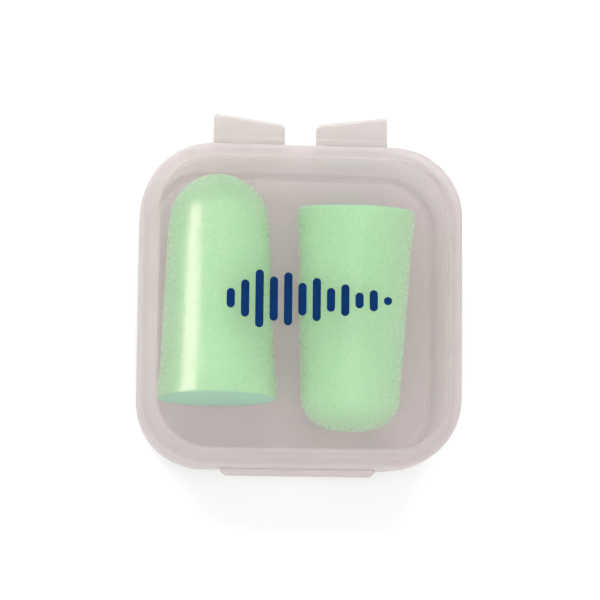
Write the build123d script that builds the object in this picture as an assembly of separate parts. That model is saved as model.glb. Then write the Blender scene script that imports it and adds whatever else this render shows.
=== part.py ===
from build123d import *
import math
import os

# Travel case with a pair of foam ear plugs.  Millimetres, +Z up.
# The case lies on its back: the tray's underside is z = 0 and its centre is
# the origin, the lid faces +Z, the hinge is at +Y and the thumb tab at -Y.

# ---------------------------------------------------------------- case
case_side = 37.0          # outer width and depth at the parting plane
case_height = 17.0        # closed height
parting_z = 10.4          # height of the plane where lid and tray meet
corner_r = 8.1            # plan radius of the four corners at the parting plane
wall = 1.15               # side walls
floor_t = 1.2             # tray floor
roof_t = 1.0              # lid top
draft = 1.6               # side-wall draft, degrees, on tray and lid
bottom_fillet = 1.9       # outer edge of the tray floor
roof_fillet = 2.8         # outer edge of the lid top
inner_fillet = 1.2        # inner edge of floor and roof

# register lip: the tray's inner lip stands up inside the lid's skirt
lip_height = 1.2
lip_setback = 0.62        # from the outer wall to the lip's outer face
lip_clear = 0.14          # side clearance round the lip
lip_clear_top = 0.15      # clearance over the lip
seam_gap = 0.04           # hairline between the closed lid and the tray's rim
bead_length = 12.0        # snap bead, front middle of the lip
bead_depth = 0.10
bead_height = 0.40

# thumb tab on the front edge of the lid
tab_width = 17.6
tab_reach = 0.82
tab_thick = 1.25
tab_end_slope = 0.50      # how much each end of the tab draws in

# ---------------------------------------------------------------- hinge
strap_inner_x = 1.85      # the two straps run from here ...
strap_outer_x = 10.1      # ... to here, either side of the middle
strap_t = 0.35            # strap thickness
strap_gap = 0.20          # space between a strap's two leaves when closed
strap_reach_inner = 3.00  # how far the fold stands out from the wall, inner end
strap_reach_outer = 4.08  # the same at the outer end: the fold line slants
hinge_clear = 0.05        # axis stands this far behind the leaf ends

# ---------------------------------------------------------------- ear plugs
plug_left_length = 26.4
plug_right_length = 25.9   # the right plug has the blunter tip
# radius along the plug from its flat end, distance: radius
plug_profile = [(0.35, 6.90), (1.6, 6.87), (3.1, 6.72), (5.2, 6.55), (8.0, 6.46),
                (11.0, 6.35), (14.0, 6.19), (17.0, 6.05), (20.4, 5.88)]
plug_edge = 0.35          # rounding of the flat end's rim
plug_lift = 0.12          # space between plug and floor
plug_left_x = -9.15       # plug axes, from the middle of the case
plug_right_x = 6.80
plug_left_flat_y = -10.45  # centre of the left plug's flat end (tip to +Y)
plug_right_flat_y = 11.95  # centre of the right plug's flat end (tip to -Y)
plug_right_yaw = -1.0     # the right plug lies very slightly askew, degrees

# ---------------------------------------------------------------- lid mark
mark_t = 0.05             # ink film on the lid
mark_bar_w = 0.93
mark_pitch = 1.62
mark_heights = [2.2, 4.2, 6.55, 5.0, 6.0, 3.7, 4.9, 2.7, 3.6, 1.8, 2.4, 0.93]
mark_x, mark_y = 0.60, 0.38   # middle of the mark, from the middle of the lid

half = case_side / 2


def rounded(side, r, z):
    return Plane.XY.offset(z) * RectangleRounded(side, side, r)


def rounded_down(side, r, z):
    # same outline, facing down, so that a tapered extrusion runs downward
    return Plane(origin=(0, 0, z), x_dir=(1, 0, 0), z_dir=(0, 0, -1)) * RectangleRounded(side, side, r)


def edges_at(solid, z):
    return [e for e in solid.edges() if abs(e.bounding_box().min.Z - z) < 1e-4 and abs(e.bounding_box().max.Z - z) < 1e-4]


def one(shape, label):
    solids = shape.solids()
    assert len(solids) == 1, (label, len(solids))
    s = solids[0]
    s.label = label
    return s


# ---------------------------------------------------------------- tray
def tray_outer():
    s = extrude(rounded_down(case_side, corner_r, parting_z), amount=parting_z, taper=draft)
    return fillet(edges_at(s, 0), bottom_fillet)


def make_tray():
    outer = tray_outer()
    inner_side = case_side - 2 * wall
    cavity = extrude(rounded_down(inner_side, corner_r - wall, parting_z), amount=parting_z - floor_t, taper=draft)
    cavity = fillet(edges_at(cavity, floor_t), inner_fillet)
    tray = outer - cavity
    lip_side = case_side - 2 * lip_setback
    lip = extrude(rounded(lip_side, corner_r - lip_setback, parting_z), amount=lip_height)
    lip = chamfer(edges_at(lip, parting_z + lip_height), 0.16)
    lip -= extrude(rounded(inner_side, corner_r - wall, parting_z), amount=lip_height)
    # snap bead along the front middle of the lip
    y_lip = -(half - lip_setback)
    bead = Pos(0, y_lip, parting_z + 0.66) * Box(bead_length, 2 * bead_depth, bead_height)
    bead = chamfer(bead.edges().filter_by(Axis.X).sort_by(Axis.Y)[:2], bead_depth * 0.9)
    return one(tray + lip + bead, "base_tray")


# ---------------------------------------------------------------- lid
def lid_outer():
    h = case_height - parting_z
    s = extrude(rounded(case_side, corner_r, parting_z), amount=h, taper=draft)
    return fillet(edges_at(s, case_height), roof_fillet)


def make_lid():
    h = case_height - parting_z
    lid = lid_outer()
    # thumb tab, a flat tongue at the lid's lower front edge with drawn-in ends
    w0, w1 = tab_width / 2, tab_width / 2 - tab_end_slope
    y0, y1 = -half + 0.3, -half - tab_reach
    tab = Plane.XY.offset(parting_z) * make_face(Polyline((-w0, y0), (-w0, y1 + tab_end_slope), (-w1, y1), (w1, y1), (w0, y1 + tab_end_slope), (w0, y0), close=True))
    tab = extrude(tab, amount=tab_thick)
    front = [e for e in tab.edges() if abs(e.center().Y - y1) < 1e-4 and abs(e.center().Z - parting_z - tab_thick) < 1e-4]
    tab = fillet(front, 0.45)
    lid = lid + tab
    inner_side = case_side - 2 * wall
    cavity = extrude(rounded(inner_side, corner_r - wall, parting_z), amount=h - roof_t, taper=draft)
    cavity = fillet(edges_at(cavity, case_height - roof_t), inner_fillet)
    step = lip_setback - lip_clear
    recess = extrude(rounded(case_side - 2 * step, corner_r - step, parting_z), amount=lip_height + lip_clear_top)
    hairline = Pos(0, 0, parting_z + seam_gap - 0.5) * Box(60, 60, 1.0)
    return one(lid - cavity - recess - hairline, "lid_cover")


# ---------------------------------------------------------------- hinge straps
fold_r = (strap_gap + strap_t) / 2                       # centre line of the fold
fold_in_y = half + strap_reach_inner - fold_r - strap_t / 2
fold_out_y = half + strap_reach_outer - fold_r - strap_t / 2
hinge_y = fold_out_y + hinge_clear                       # hinge axis, parallel to X
hinge_z = parting_z


def leaf(z0, z1, body, side):
    # flat leaf from the case wall to the slanted start of the fold
    root = half - 1.0
    pts = [(strap_inner_x, root), (strap_inner_x, fold_in_y), (strap_outer_x, fold_out_y), (strap_outer_x, root)]
    f = Plane.XY.offset(z0) * make_face(Polyline(*[(side * x, y) for x, y in pts], close=True))
    return extrude(f, amount=z1 - z0) - body


def film(side):
    # half-round fold: the same section along the slanted fold line
    r0, r1 = strap_gap / 2, strap_gap / 2 + strap_t
    face = Plane(origin=(side * strap_inner_x, fold_in_y, hinge_z), x_dir=(0, 1, 0), z_dir=(1, 0, 0))
    ring = Circle(r1) - Circle(r0) - Pos(-r1, 0) * Rectangle(2 * r1, 4 * r1)
    d = Vector(side * (strap_outer_x - strap_inner_x), fold_out_y - fold_in_y, 0)
    return extrude(face * ring, amount=d.length, dir=d.normalized())


# ---------------------------------------------------------------- ear plugs
def plug(tip, length):
    # tip: list of (distance from the end of the tip, radius) points, tip last
    r0 = plug_profile[0][1]
    edge = plug_edge
    pts = [(r, s) for s, r in plug_profile]
    body = Spline(*pts, tangents=[(0, 1), (pts[-1][0] - pts[-2][0], pts[-1][1] - pts[-2][1])])
    tip_pts = [pts[-1]] + [(r, length - d) for d, r in tip] + [(0, length)]
    dome = Spline(*tip_pts, tangents=[(pts[-1][0] - pts[-2][0], pts[-1][1] - pts[-2][1]), (-1, 0)])
    rim = Line((r0 - edge, 0), (0, 0))
    corner = RadiusArc((r0, edge), (r0 - edge, 0), edge)
    if corner.center().X < r0 - edge * 0.6:
        corner = RadiusArc((r0, edge), (r0 - edge, 0), -edge)
    axis = Line((0, 0), (0, length))
    prof = make_face([body, dome, rim, corner, axis])
    # the profile is drawn as radius across, distance along +Y; turn it about Y
    return revolve(prof, Axis.Y)


round_tip = [(3.60, 5.42), (1.75, 4.18), (0.45, 2.26)]
blunt_tip = [(2.90, 5.62), (1.30, 4.62), (0.35, 2.75)]

plug_tilt = math.degrees(math.atan((plug_profile[0][1] - plug_profile[-1][1]) / (plug_profile[-1][0] - plug_profile[0][0])))


def lay(shape, x, y, towards, yaw):
    # lay the plug on its side: its lower side is level, so the tip dips a little
    s = Rot(X=-plug_tilt) * shape                      # tip points to +Y and dips
    if towards < 0:
        s = Rot(Z=180) * s
    s = Rot(Z=yaw) * s
    low = s.bounding_box().min.Z
    return Pos(x, y, floor_t + plug_lift - low) * s


# ---------------------------------------------------------------- lid mark
def mark():
    n = len(mark_heights)
    bars = []
    for i, h in enumerate(mark_heights):
        x = (i - (n - 1) / 2) * mark_pitch
        f = SlotOverall(h, mark_bar_w, rotation=90) if h > mark_bar_w + 0.05 else Circle(mark_bar_w / 2)
        bars.append(extrude(Plane.XY.offset(case_height) * (Pos(mark_x + x, mark_y) * f), amount=mark_t))
    return Compound(children=[b.solids()[0] for b in bars], label="lid_mark")


tray = make_tray()
lid = make_lid()
t_out, l_out = tray_outer(), lid_outer()
zc = strap_gap / 2
parts = {
    "base_tray": tray,
    "lid_cover": lid,
    "hinge_leaf_base_left": one(leaf(hinge_z - zc - strap_t, hinge_z - zc, t_out, -1), "hinge_leaf_base_left"),
    "hinge_leaf_base_right": one(leaf(hinge_z - zc - strap_t, hinge_z - zc, t_out, 1), "hinge_leaf_base_right"),
    "hinge_leaf_lid_left": one(leaf(hinge_z + zc, hinge_z + zc + strap_t, l_out, -1), "hinge_leaf_lid_left"),
    "hinge_leaf_lid_right": one(leaf(hinge_z + zc, hinge_z + zc + strap_t, l_out, 1), "hinge_leaf_lid_right"),
    "hinge_film_left": one(film(-1), "hinge_film_left"),
    "hinge_film_right": one(film(1), "hinge_film_right"),
    "foam_plug_left": one(lay(plug(round_tip, plug_left_length), plug_left_x, plug_left_flat_y, 1, 0), "foam_plug_left"),
    "foam_plug_right": one(lay(plug(blunt_tip, plug_right_length), plug_right_x, plug_right_flat_y, -1, plug_right_yaw), "foam_plug_right"),
    "lid_mark": mark(),
}

os.makedirs("parts", exist_ok=True)
for name, shape in parts.items():
    export_step(shape, f"parts/{name}.step")
    b = shape.bounding_box()
    print(f"{name:24s} vol {shape.volume:9.3f}  x {b.min.X:7.2f} {b.max.X:7.2f}  y {b.min.Y:7.2f} {b.max.Y:7.2f}  z {b.min.Z:6.2f} {b.max.Z:6.2f}")
print("hinge axis y", round(hinge_y, 3), "z", hinge_z, "plug tilt", round(plug_tilt, 3))
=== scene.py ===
import math

import bmesh
import bpy
import numpy as np
from mathutils import Matrix, Vector, noise


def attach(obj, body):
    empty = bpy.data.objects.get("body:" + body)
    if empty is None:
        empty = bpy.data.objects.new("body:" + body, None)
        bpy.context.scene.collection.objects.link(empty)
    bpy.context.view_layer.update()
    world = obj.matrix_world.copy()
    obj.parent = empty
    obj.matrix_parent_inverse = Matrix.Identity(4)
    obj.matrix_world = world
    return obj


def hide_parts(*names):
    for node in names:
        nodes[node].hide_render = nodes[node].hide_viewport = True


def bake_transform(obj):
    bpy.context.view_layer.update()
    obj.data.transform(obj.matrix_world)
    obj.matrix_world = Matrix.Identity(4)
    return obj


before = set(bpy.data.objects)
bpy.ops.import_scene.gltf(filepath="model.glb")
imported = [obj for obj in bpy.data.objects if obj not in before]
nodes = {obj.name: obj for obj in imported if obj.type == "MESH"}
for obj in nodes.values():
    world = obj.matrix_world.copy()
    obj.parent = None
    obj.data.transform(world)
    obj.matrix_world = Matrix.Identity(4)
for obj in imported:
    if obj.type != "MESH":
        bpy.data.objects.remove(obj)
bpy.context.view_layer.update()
scene = bpy.context.scene
MM = 0.001


# ------------------------------------------------------------------ camera
# Above the closed case, leaning a little to the left and to the front.
CENTRE = Vector((0, 0, 8.5 * MM))
AWAY = Vector((-0.095, -0.11, 0.9894)).normalized()
DIST = 300 * MM
ROLL = math.radians(0.625)
up0 = (Vector((0, 1, 0)) - AWAY * AWAY.y).normalized()
right0 = up0.cross(AWAY)
right = right0 * math.cos(ROLL) + up0 * math.sin(ROLL)
up = up0 * math.cos(ROLL) - right0 * math.sin(ROLL)
cam_data = bpy.data.cameras.new("camera")
cam_data.sensor_width = 36
cam_data.lens = 155.2
cam_data.clip_start = 0.01
cam_data.clip_end = 50
cam = bpy.data.objects.new("camera", cam_data)
scene.collection.objects.link(cam)
place = CENTRE + AWAY * DIST + right * 0.34 * MM + up * 1.22 * MM
rot = Matrix((right, up, AWAY)).transposed().to_4x4()
cam.matrix_world = Matrix.Translation(place) @ rot
scene.camera = cam


# ------------------------------------------------------------------ materials
class Mat:
    """A node material with a few helpers."""

    def __init__(self, name):
        self.m = bpy.data.materials.new(name)
        self.m.use_nodes = True
        self.nt = self.m.node_tree
        self.nt.nodes.clear()
        self.out = self.node("ShaderNodeOutputMaterial")
        self.coords = self.node("ShaderNodeTexCoord")

    def node(self, kind, inputs=None, **props):
        n = self.nt.nodes.new(kind)
        for k, v in props.items():
            setattr(n, k, v)
        for k, v in (inputs or {}).items():
            if isinstance(v, bpy.types.NodeSocket):
                self.nt.links.new(v, n.inputs[k])
            else:
                n.inputs[k].default_value = v
        return n

    def noise(self, scale, detail=3.0, rough=0.5, stretch=(1, 1, 1), distortion=0.0):
        at = self.node("ShaderNodeMapping", {"Vector": self.coords.outputs["Object"], "Scale": stretch})
        n = self.node(
            "ShaderNodeTexNoise",
            {"Vector": at.outputs[0], "Scale": scale, "Detail": detail, "Roughness": rough, "Distortion": distortion},
        )
        return n.outputs["Fac"]

    def ramp(self, fac, stops):
        n = self.node("ShaderNodeValToRGB", {"Fac": fac})
        els = n.color_ramp.elements
        while len(els) < len(stops):
            els.new(0.5)
        for e, (p, c) in zip(els, stops):
            e.position = p
            e.color = c if len(c) == 4 else (*c, 1)
        return n.outputs["Color"]

    def span(self, value, a, b, c, d, smooth=False):
        n = self.node(
            "ShaderNodeMapRange",
            {"Value": value, "From Min": a, "From Max": b, "To Min": c, "To Max": d},
            interpolation_type="SMOOTHSTEP" if smooth else "LINEAR",
        )
        return n.outputs["Result"]

    def math(self, op, a, b=None, clamp=False):
        n = self.node("ShaderNodeMath", operation=op, use_clamp=clamp)
        for i, v in enumerate((a, b)):
            if v is None:
                continue
            if isinstance(v, bpy.types.NodeSocket):
                self.nt.links.new(v, n.inputs[i])
            else:
                n.inputs[i].default_value = v
        return n.outputs[0]

    def blend(self, fac, a, b, how="MIX"):
        n = self.node("ShaderNodeMix", data_type="RGBA", blend_type=how)
        for i, v in ((0, fac), (6, a), (7, b)):
            if isinstance(v, bpy.types.NodeSocket):
                self.nt.links.new(v, n.inputs[i])
            else:
                n.inputs[i].default_value = v if i == 0 or len(v) == 4 else (*v, 1)
        return n.outputs[2]

    def bump(self, height, distance, strength=1.0, normal=None):
        n = self.node("ShaderNodeBump", {"Height": height, "Distance": distance, "Strength": strength})
        if normal is not None:
            self.nt.links.new(normal, n.inputs["Normal"])
        return n.outputs["Normal"]


def case_plastic(name="case_frosted_pp", tab=0.34, flat=0.165, edge=0.42, deep=0.60, graze=0.62, grain=1.0, tint=((0.800, 0.712, 0.722), (0.830, 0.744, 0.752))):
    """Frosted, see-through polypropylene. Denser where it is seen along its thickness and on rounded edges."""
    k = Mat(name)
    cloud = k.noise(260, 4, 0.55)
    grainy = k.noise(5200, 3, 0.6)
    flow = k.noise(420, 3, 0.5, stretch=(1, 0.18, 1))
    colour = k.ramp(cloud, [(0.32, tint[0]), (0.68, tint[1])])
    # rounded edges: the surface's own normal is neither level nor upright
    sep = k.node("ShaderNodeSeparateXYZ", {"Vector": k.coords.outputs["Normal"]})
    nz = k.math("ABSOLUTE", sep.outputs["Z"])
    rounded = k.math("MULTIPLY", k.span(nz, 0.06, 0.30, 0.0, 1.0, smooth=True), k.span(nz, 0.90, 0.985, 1.0, 0.0, smooth=True))
    facing = k.node("ShaderNodeLayerWeight", {"Blend": 0.5}).outputs["Facing"]
    facing = k.math("POWER", facing, 2.2)
    a = k.math("MULTIPLY", rounded, edge)
    a = k.math("ADD", a, flat)
    # the thumb tab is solid plastic
    at = k.node("ShaderNodeSeparateXYZ", {"Vector": k.coords.outputs["Object"]})
    tongue = k.span(at.outputs["Y"], -0.01852, -0.01870, 0.0, 1.0, smooth=True)
    a = k.math("ADD", a, k.math("MULTIPLY", tongue, tab))
    # more plastic along the line of sight takes more of the light
    thick = k.math("MAXIMUM", rounded, tongue)
    colour = k.blend(k.math("MULTIPLY", thick, deep), colour, tuple(0.74 * c for c in tint[0]))
    a = k.math("ADD", a, k.math("MULTIPLY", facing, graze), clamp=True)
    a = k.math("MULTIPLY", a, k.span(cloud, 0.3, 0.7, 0.96, 1.04))
    a = k.math("MULTIPLY", a, k.span(flow, 0.3, 0.7, 0.98, 1.02), clamp=True)
    normal = k.bump(grainy, 0.000008 * grain, 0.6)
    p = k.node(
        "ShaderNodeBsdfPrincipled",
        {
            "Base Color": colour,
            "Roughness": k.span(grainy, 0.3, 0.7, 0.30, 0.40),
            "IOR": 1.49,
            "Specular IOR Level": 0.45,
            "Normal": normal,
        },
    )
    t = k.node("ShaderNodeBsdfTranslucent", {"Color": colour})
    body = k.node("ShaderNodeMixShader", {0: 0.38, 1: p.outputs[0], 2: t.outputs[0]})
    clear = k.node("ShaderNodeBsdfTransparent", {"Color": (0.935, 0.915, 0.92, 1)})
    mix = k.node("ShaderNodeMixShader", {0: a, 1: clear.outputs[0], 2: body.outputs[0]})
    k.nt.links.new(mix.outputs[0], k.out.inputs["Surface"])
    return k.m


def foam_skin():
    """Slow-recovery foam: a soft satin skin, faint mottling and closed pores."""
    k = Mat("foam_skin")
    cloud = k.noise(190, 4, 0.55)
    mottle = k.noise(2600, 3, 0.6)
    cells = k.node("ShaderNodeTexVoronoi", {"Vector": k.coords.outputs["Object"], "Scale": 5200.0, "Randomness": 1.0})
    pore = k.span(cells.outputs["Distance"], 0.0, 0.35, 0.0, 1.0, smooth=True)
    base = k.ramp(cloud, [(0.30, (0.250, 0.755, 0.290)), (0.70, (0.280, 0.795, 0.320))])
    base = k.blend(k.span(mottle, 0.35, 0.65, 0.0, 0.35), base, (0.320, 0.800, 0.345))
    base = k.blend(k.span(pore, 0.0, 1.0, 0.22, 0.0), base, (0.17, 0.52, 0.18))
    n = k.bump(pore, 0.000003, 0.25)
    n = k.bump(mottle, 0.000002, 0.25, n)
    n = k.bump(k.noise(190, 0.0, 0.4), 0.00005, 0.5, n)
    p = k.node(
        "ShaderNodeBsdfPrincipled",
        {
            "Base Color": base,
            "Roughness": k.span(mottle, 0.3, 0.7, 0.25, 0.31),
            "IOR": 1.45,
            "Specular IOR Level": 0.5,
            "Subsurface Weight": 0.18,
            "Subsurface Radius": (0.7, 1.0, 0.6),
            "Subsurface Scale": 0.0012,
            "Sheen Weight": 0.10,
            "Sheen Roughness": 0.4,
            "Normal": n,
        },
    )
    k.nt.links.new(p.outputs[0], k.out.inputs["Surface"])
    return k.m


def foam_cut():
    """The flat end, where the foam is cut across: open pores, and a cooler green that is painted shade, the bluish
    cast this face has in shade.
    """
    k = Mat("foam_cut")
    cloud = k.noise(240, 4, 0.55)
    cells = k.node("ShaderNodeTexVoronoi", {"Vector": k.coords.outputs["Object"], "Scale": 2600.0, "Randomness": 1.0})
    pore = k.span(cells.outputs["Distance"], 0.05, 0.45, 0.0, 1.0, smooth=True)
    # painted shade: the cooler, bluer green stands in for the cast of shade on this end face; the darker pores are the
    # foam's own
    base = k.ramp(cloud, [(0.30, (0.160, 0.750, 0.415)), (0.70, (0.190, 0.795, 0.450))])
    base = k.blend(k.span(pore, 0.0, 1.0, 0.40, 0.0), base, (0.11, 0.50, 0.32))
    n = k.bump(pore, 0.00005, 0.7)
    n = k.bump(cloud, 0.0001, 0.4, n)
    p = k.node(
        "ShaderNodeBsdfPrincipled",
        {
            "Base Color": base,
            "Roughness": k.span(cloud, 0.3, 0.7, 0.62, 0.74),
            "Specular IOR Level": 0.35,
            "Subsurface Weight": 0.15,
            "Subsurface Radius": (0.7, 1.0, 0.8),
            "Subsurface Scale": 0.001,
            "Normal": n,
        },
    )
    k.nt.links.new(p.outputs[0], k.out.inputs["Surface"])
    return k.m


def ink():
    """Pad-printed ink: navy, semi-gloss, a trace uneven."""
    k = Mat("mark_ink_navy")
    cloud = k.noise(700, 3, 0.5)
    fine = k.noise(6000, 2, 0.5)
    base = k.ramp(cloud, [(0.3, (0.0004, 0.018, 0.080)), (0.7, (0.0006, 0.023, 0.096))])
    p = k.node(
        "ShaderNodeBsdfPrincipled",
        {
            "Base Color": base,
            "Roughness": k.span(fine, 0.3, 0.7, 0.50, 0.60),
            "Specular IOR Level": 0.04,
            "Normal": k.bump(fine, 0.000006, 0.6),
        },
    )
    k.nt.links.new(p.outputs[0], k.out.inputs["Surface"])
    return k.m


def floor_paper():
    """Plain pale studio floor."""
    k = Mat("studio_floor")
    cloud = k.noise(3, 3, 0.5)
    base = k.ramp(cloud, [(0.3, (0.86, 0.86, 0.86)), (0.7, (0.88, 0.88, 0.88))])
    # painted glow: the floor's far part, beyond the softboxes, is given emission so it reads as a lit sweep
    out = k.node("ShaderNodeVectorMath", {0: k.coords.outputs["Object"]}, operation="LENGTH").outputs["Value"]
    p = k.node(
        "ShaderNodeBsdfPrincipled",
        {
            "Base Color": base,
            "Roughness": 0.85,
            "Specular IOR Level": 0.1,
            "Emission Color": (1, 1, 1, 1),
            "Emission Strength": k.span(out, 0.45, 1.3, 0.0, 0.75, smooth=True),
        },
    )
    k.nt.links.new(p.outputs[0], k.out.inputs["Surface"])
    return k.m


# ------------------------------------------------------------------ the case
plastic = case_plastic()
for n in ("base_tray", "lid_cover"):
    nodes[n].data.materials.clear()
    nodes[n].data.materials.append(plastic)

nodes["lid_mark"].data.materials.clear()
nodes["lid_mark"].data.materials.append(ink())


def finish_mesh(name, verts, faces, mats, sharp=math.radians(38)):
    me = bpy.data.meshes.new(name)
    me.from_pydata([Vector(v) * MM for v in verts], [], faces)
    bm = bmesh.new()
    bm.from_mesh(me)
    bmesh.ops.recalc_face_normals(bm, faces=bm.faces)
    for f in bm.faces:
        f.smooth = True
    for e in bm.edges:
        e.smooth = not (len(e.link_faces) == 2 and e.calc_face_angle(0) > sharp)
    bm.to_mesh(me)
    bm.free()
    for m in mats:
        me.materials.append(m)
    ob = bpy.data.objects.new(name, me)
    scene.collection.objects.link(ob)
    return ob


# ------------------------------------------------------------------ hinge straps
HALF = 18.5
HINGE = (22.18, 10.4)
T, GAP = 0.35, 0.20
X_IN, X_OUT = 1.85, 10.10
FOLD_IN, FOLD_OUT = 21.05, 22.13
ROOT = HALF - 0.10


def strap_section(y_c, t):
    """Closed outline in (y, z) of one strap: tray leaf, fold, lid leaf. t is its thickness here."""
    mid = (GAP + T) / 2
    ro, ri = mid + t / 2, mid - t / 2
    angles = []
    for a, b, n in ((-90, -24, 7), (-24, 24, 25), (24, 90, 7)):
        angles += list(np.linspace(math.radians(a), math.radians(b), n))[: None if b == 90 else -1]
    z0 = HINGE[1]
    leaf = np.linspace(ROOT, y_c, 14)[:-1]
    # the lid leaf is a little thicker next to the wall, with a short ramp
    thick = lambda y: 0.15 * (t / T) * (1 - min(1.0, max(0.0, (y - 19.55) / 0.30)))
    outer = [(y, z0 - ro) for y in leaf] + [(y_c + ro * math.cos(a), z0 + ro * math.sin(a)) for a in angles]
    outer += [(y, z0 + ro + thick(y)) for y in leaf[::-1]]
    inner = [(y, z0 - ri) for y in leaf] + [(y_c + ri * math.cos(a), z0 + ri * math.sin(a)) for a in angles]
    inner += [(y, z0 + ri) for y in leaf[::-1]]
    return outer, inner


def strap(side):
    us = []
    rho = 0.12
    edge = [rho * (1 - math.cos(a)) for a in np.linspace(0, math.pi / 2, 5)]
    width = X_OUT - X_IN
    us = edge + list(np.linspace(rho, 1.2, 9))[1:] + list(np.linspace(1.2, width - 0.6, 12))[1:]
    us += list(np.linspace(width - 0.6, width - rho, 6))[1:] + [width - e for e in edge[::-1]][1:]
    verts, rings = [], []
    for u in us:
        y_c = FOLD_IN + (FOLD_OUT - FOLD_IN) * u / width
        # the free end's corners are rounded in plan
        r = 0.50
        if u < r:
            y_c -= r - math.sqrt(max(r * r - (r - u) ** 2, 0.0)) * 1.0
        r = 0.30
        if width - u < r:
            y_c -= r - math.sqrt(max(r * r - (r - width + u) ** 2, 0.0))
        e = min(u, width - u)
        t = T * (math.sqrt(max(1 - ((rho - e) / rho) ** 2, 0.0)) if e < rho else 1.0)
        t = max(t, 0.05)
        o, i = strap_section(y_c, t)
        rings.append((len(verts), len(o)))
        x = side * (X_IN + u)
        verts += [(x, y, z) for y, z in o + i]
    faces = []
    for (a, n), (b, _) in zip(rings, rings[1:]):
        for j in range(n - 1):
            faces.append((a + j, a + j + 1, b + j + 1, b + j))
            faces.append((a + n + j, b + n + j, b + n + j + 1, a + n + j + 1))
        faces.append((a, b, b + n, a + n))
        faces.append((a + n - 1, a + 2 * n - 1, b + 2 * n - 1, b + n - 1))
    for a, n in (rings[0], rings[-1]):
        for j in range(n - 1):
            faces.append((a + j, a + n + j, a + n + j + 1, a + j + 1))
    name = "hinge_strap_left" if side < 0 else "hinge_strap_right"
    return finish_mesh(name, verts, faces, [strap_plastic])


strap_plastic = case_plastic("strap_frosted_pp", flat=0.44, edge=0.20, deep=0.0, graze=0.45, tint=((0.722, 0.692, 0.670), (0.752, 0.722, 0.700)))
for side, tag in ((-1, "left"), (1, "right")):
    s = strap(side)
    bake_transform(s)
    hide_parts(f"hinge_leaf_base_{tag}", f"hinge_leaf_lid_{tag}", f"hinge_film_{tag}")


# ------------------------------------------------------------------ ear plugs
PROFILE = [(0.35, 6.90), (1.6, 6.87), (3.1, 6.72), (5.2, 6.55), (8.0, 6.46), (11.0, 6.35), (14.0, 6.19), (17.0, 6.05), (20.4, 5.88)]
EDGE = 0.35
TILT = math.atan((PROFILE[0][1] - PROFILE[-1][1]) / (PROFILE[-1][0] - PROFILE[0][0]))
FLOOR_Z = 1.2 + 0.12


def smooth_line(pts, steps, before=None, after=None):
    """Centripetal Catmull-Rom line through pts."""
    p = [np.array(q, float) for q in pts]
    first = np.array(before, float) if before is not None else 2 * p[0] - p[1]
    last = np.array(after, float) if after is not None else 2 * p[-1] - p[-2]
    p = [first] + p + [last]
    out = []
    for i in range(1, len(p) - 2):
        a, b, c, d = p[i - 1 : i + 3]
        t0 = 0.0
        t1 = t0 + np.linalg.norm(b - a) ** 0.5
        t2 = t1 + np.linalg.norm(c - b) ** 0.5
        t3 = t2 + np.linalg.norm(d - c) ** 0.5
        n = steps[i - 1] if isinstance(steps, (list, tuple)) else steps
        for k in range(n):
            t = t1 + (t2 - t1) * k / n
            a1 = (t1 - t) / (t1 - t0) * a + (t - t0) / (t1 - t0) * b
            a2 = (t2 - t) / (t2 - t1) * b + (t - t1) / (t2 - t1) * c
            a3 = (t3 - t) / (t3 - t2) * c + (t - t2) / (t3 - t2) * d
            b1 = (t2 - t) / (t2 - t0) * a1 + (t - t0) / (t2 - t0) * a2
            b2 = (t3 - t) / (t3 - t1) * a2 + (t - t1) / (t3 - t1) * a3
            out.append((t2 - t) / (t2 - t1) * b1 + (t - t1) / (t2 - t1) * b2)
    out.append(p[-2])
    return out


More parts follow.
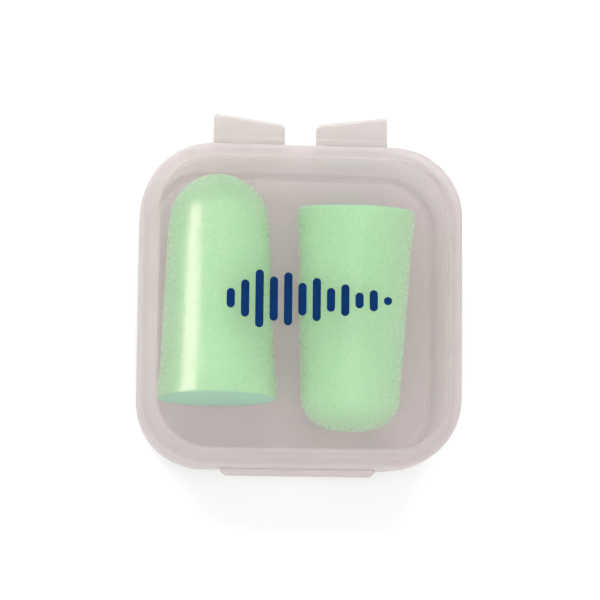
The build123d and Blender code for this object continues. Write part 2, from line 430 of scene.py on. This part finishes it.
def plug(name, length, tip, x, flat_y, towards, yaw, seed, dents):
    """A revolved plug with the small unevenness of moulded foam. The flat end is cut."""
    r0 = PROFILE[0][1]
    line = [(r, 0.0) for r in np.linspace(0.0, r0 - EDGE, 16)]
    line += [(r0 - EDGE + EDGE * math.sin(a), EDGE - EDGE * math.cos(a)) for a in np.linspace(0, math.pi / 2, 7)[1:-1]]
    cut_rings = 18
    body = [(r, s) for s, r in PROFILE]
    line += [tuple(q) for q in smooth_line(body, 8, before=(r0, -1.0))][:-1]
    dome = [body[-1]] + [(r, length - d) for d, r in tip] + [(0.0, length)]
    line += [tuple(q) for q in smooth_line(dome, 9, before=body[-2], after=(-dome[-2][0], dome[-2][1]))]
    seg = 160
    verts = [(0.0, 0.0, 0.0)]
    for r, s in line[1:-1]:
        verts += [(r * math.cos(2 * math.pi * j / seg), s, r * math.sin(2 * math.pi * j / seg)) for j in range(seg)]
    verts.append((0.0, length, 0.0))
    v = np.array(verts)
    # unevenness: broad and slight, plus a few soft dents
    out = []
    for q in v:
        rad = math.hypot(q[0], q[2])
        n = Vector((q[0], 0, q[2]))
        n = n.normalized() if rad > 1e-6 else Vector((0, 0, 0))
        t = min(1.0, max(0.0, (q[1] - (length - 5.5)) / 5.5))
        n = (n * (1 - t * t) + Vector((0, 1, 0)) * t * t) if q[1] > 0.5 else n
        p = Vector(q) + Vector((0, 0, 17.0 * seed))
        d = 0.055 * noise.noise(p * 0.16) + 0.022 * noise.noise(p * 0.55) + 0.008 * noise.noise(p * 1.7)
        for cx, cy, cz, size, deep in dents:
            far = (Vector(q) - Vector((cx, cy, cz))).length / size
            if far < 1:
                d -= deep * (1 - far * far) ** 2
        w = Vector(q) + n * d * min(1.0, rad / 2.0 + (1.0 if q[1] > 1 else 0.0))
        if q[1] < 0.2:
            w.y += 0.05 * noise.noise(Vector((q[0], 3.1 * seed, q[2])) * 0.35) * min(1.0, (r0 - rad) / 1.0 + 0.3)
        out.append(w)
    # lay it on its side with its lower side level, tip dipping a little
    turn = Matrix.Rotation(-TILT, 4, "X")
    if towards < 0:
        turn = Matrix.Rotation(math.pi, 4, "Z") @ turn
    turn = Matrix.Rotation(math.radians(yaw), 4, "Z") @ turn
    out = [turn @ w for w in out]
    low = min(w.z for w in out)
    out = [w + Vector((x, flat_y, FLOOR_Z - low)) for w in out]
    faces = [(0, 1 + j, 1 + (j + 1) % seg) for j in range(seg)]
    rings = len(line) - 2
    for i in range(rings - 1):
        a, b = 1 + i * seg, 1 + (i + 1) * seg
        faces += [(a + j, b + j, b + (j + 1) % seg, a + (j + 1) % seg) for j in range(seg)]
    a, end = 1 + (rings - 1) * seg, len(out) - 1
    faces += [(a + j, end, a + (j + 1) % seg) for j in range(seg)]
    ob = finish_mesh(name, out, faces, [skin, cut], sharp=math.radians(60))
    for i, f in enumerate(ob.data.polygons):
        ring = 0 if i < seg else 1 + (i - seg) // seg
        f.material_index = 1 if ring < cut_rings else 0
    return ob


skin, cut = foam_skin(), foam_cut()
left = plug("ear_plug_left", 26.4, [(3.60, 5.42), (1.75, 4.18), (0.45, 2.26)], -9.15, -10.45, 1, 0.0, 1, [(3.2, 8.0, 5.4, 2.6, 0.10), (-2.0, 17.5, 5.7, 2.2, 0.06)])
right_plug = plug("ear_plug_right", 25.9, [(2.90, 5.62), (1.30, 4.62), (0.35, 2.75)], 6.80, 11.95, -1, -1.0, 2, [(2.6, 6.5, 5.8, 2.4, 0.09), (-3.0, 16.0, 5.0, 2.6, 0.07)])
for ob, tag in ((left, "left"), (right_plug, "right")):
    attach(ob, f"plug_{tag}")
    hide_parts(f"foam_plug_{tag}")


# ------------------------------------------------------------------ studio
bpy.ops.mesh.primitive_circle_add(vertices=96, radius=6.0, fill_type="NGON", location=(0, 0, -0.0002))
floor = bpy.context.object
floor.name = "studio_floor"
floor.data.materials.append(floor_paper())

world = bpy.data.worlds.new("studio")
scene.world = world
world.use_nodes = True
bg = world.node_tree.nodes["Background"]
bg.inputs["Strength"].default_value = 1.0
# pale at the horizon, as a studio sweep is, and softer overhead
where = world.node_tree.nodes.new("ShaderNodeTexCoord")
axes = world.node_tree.nodes.new("ShaderNodeSeparateXYZ")
fade = world.node_tree.nodes.new("ShaderNodeValToRGB")
world.node_tree.links.new(where.outputs["Generated"], axes.inputs[0])
world.node_tree.links.new(axes.outputs["Z"], fade.inputs["Fac"])
world.node_tree.links.new(fade.outputs["Color"], bg.inputs["Color"])
fade.color_ramp.interpolation = "EASE"
fade.color_ramp.elements[0].position = 0.06
fade.color_ramp.elements[0].color = (1.0, 1.0, 1.0, 1)
fade.color_ramp.elements[1].position = 0.30
fade.color_ramp.elements[1].color = (0.44, 0.445, 0.45, 1)


def area(name, away, dist, size, power, colour=(1, 1, 1), only=None, gloss_only=False):
    d = bpy.data.lights.new(name, "AREA")
    d.shape = "RECTANGLE"
    d.size, d.size_y = size
    d.energy = power
    d.color = colour
    o = bpy.data.objects.new(name, d)
    scene.collection.objects.link(o)
    a = Vector(away).normalized()
    # size_y runs along the object's +Y as nearly as it can
    y = (Vector((0, 1, 0)) - a * a.y).normalized()
    x = y.cross(a)
    o.matrix_world = Matrix.Translation(Vector((0, 0, 0.008)) + a * dist) @ Matrix((x, y, a)).transposed().to_4x4()
    if only:
        lit = bpy.data.collections.new(name + "_lights")
        for q in only:
            lit.objects.link(q)
        o.light_linking.receiver_collection = lit
        o.light_linking.blocker_collection = lit
    o.visible_diffuse = not gloss_only
    return o


area("softbox_back", (-0.18, 0.80, 0.90), 1.1, (1.1, 0.8), 11.2, (1.0, 0.99, 0.985))
area("softbox_top", (-0.08, -0.40, 1.0), 1.2, (1.0, 1.0), 10.4)
STRIP = math.radians(62)
area("strip_left", (-math.sin(STRIP), 0.0, math.cos(STRIP)), 0.7, (0.40, 0.9), 21.0, (1.0, 0.55, 0.74), only=[left], gloss_only=True)

scene.view_settings.view_transform = "Standard"
scene.view_settings.look = "None"
scene.cycles.max_bounces = 16
scene.cycles.transparent_max_bounces = 32
scene.cycles.diffuse_bounces = 6
scene.cycles.use_denoising = True
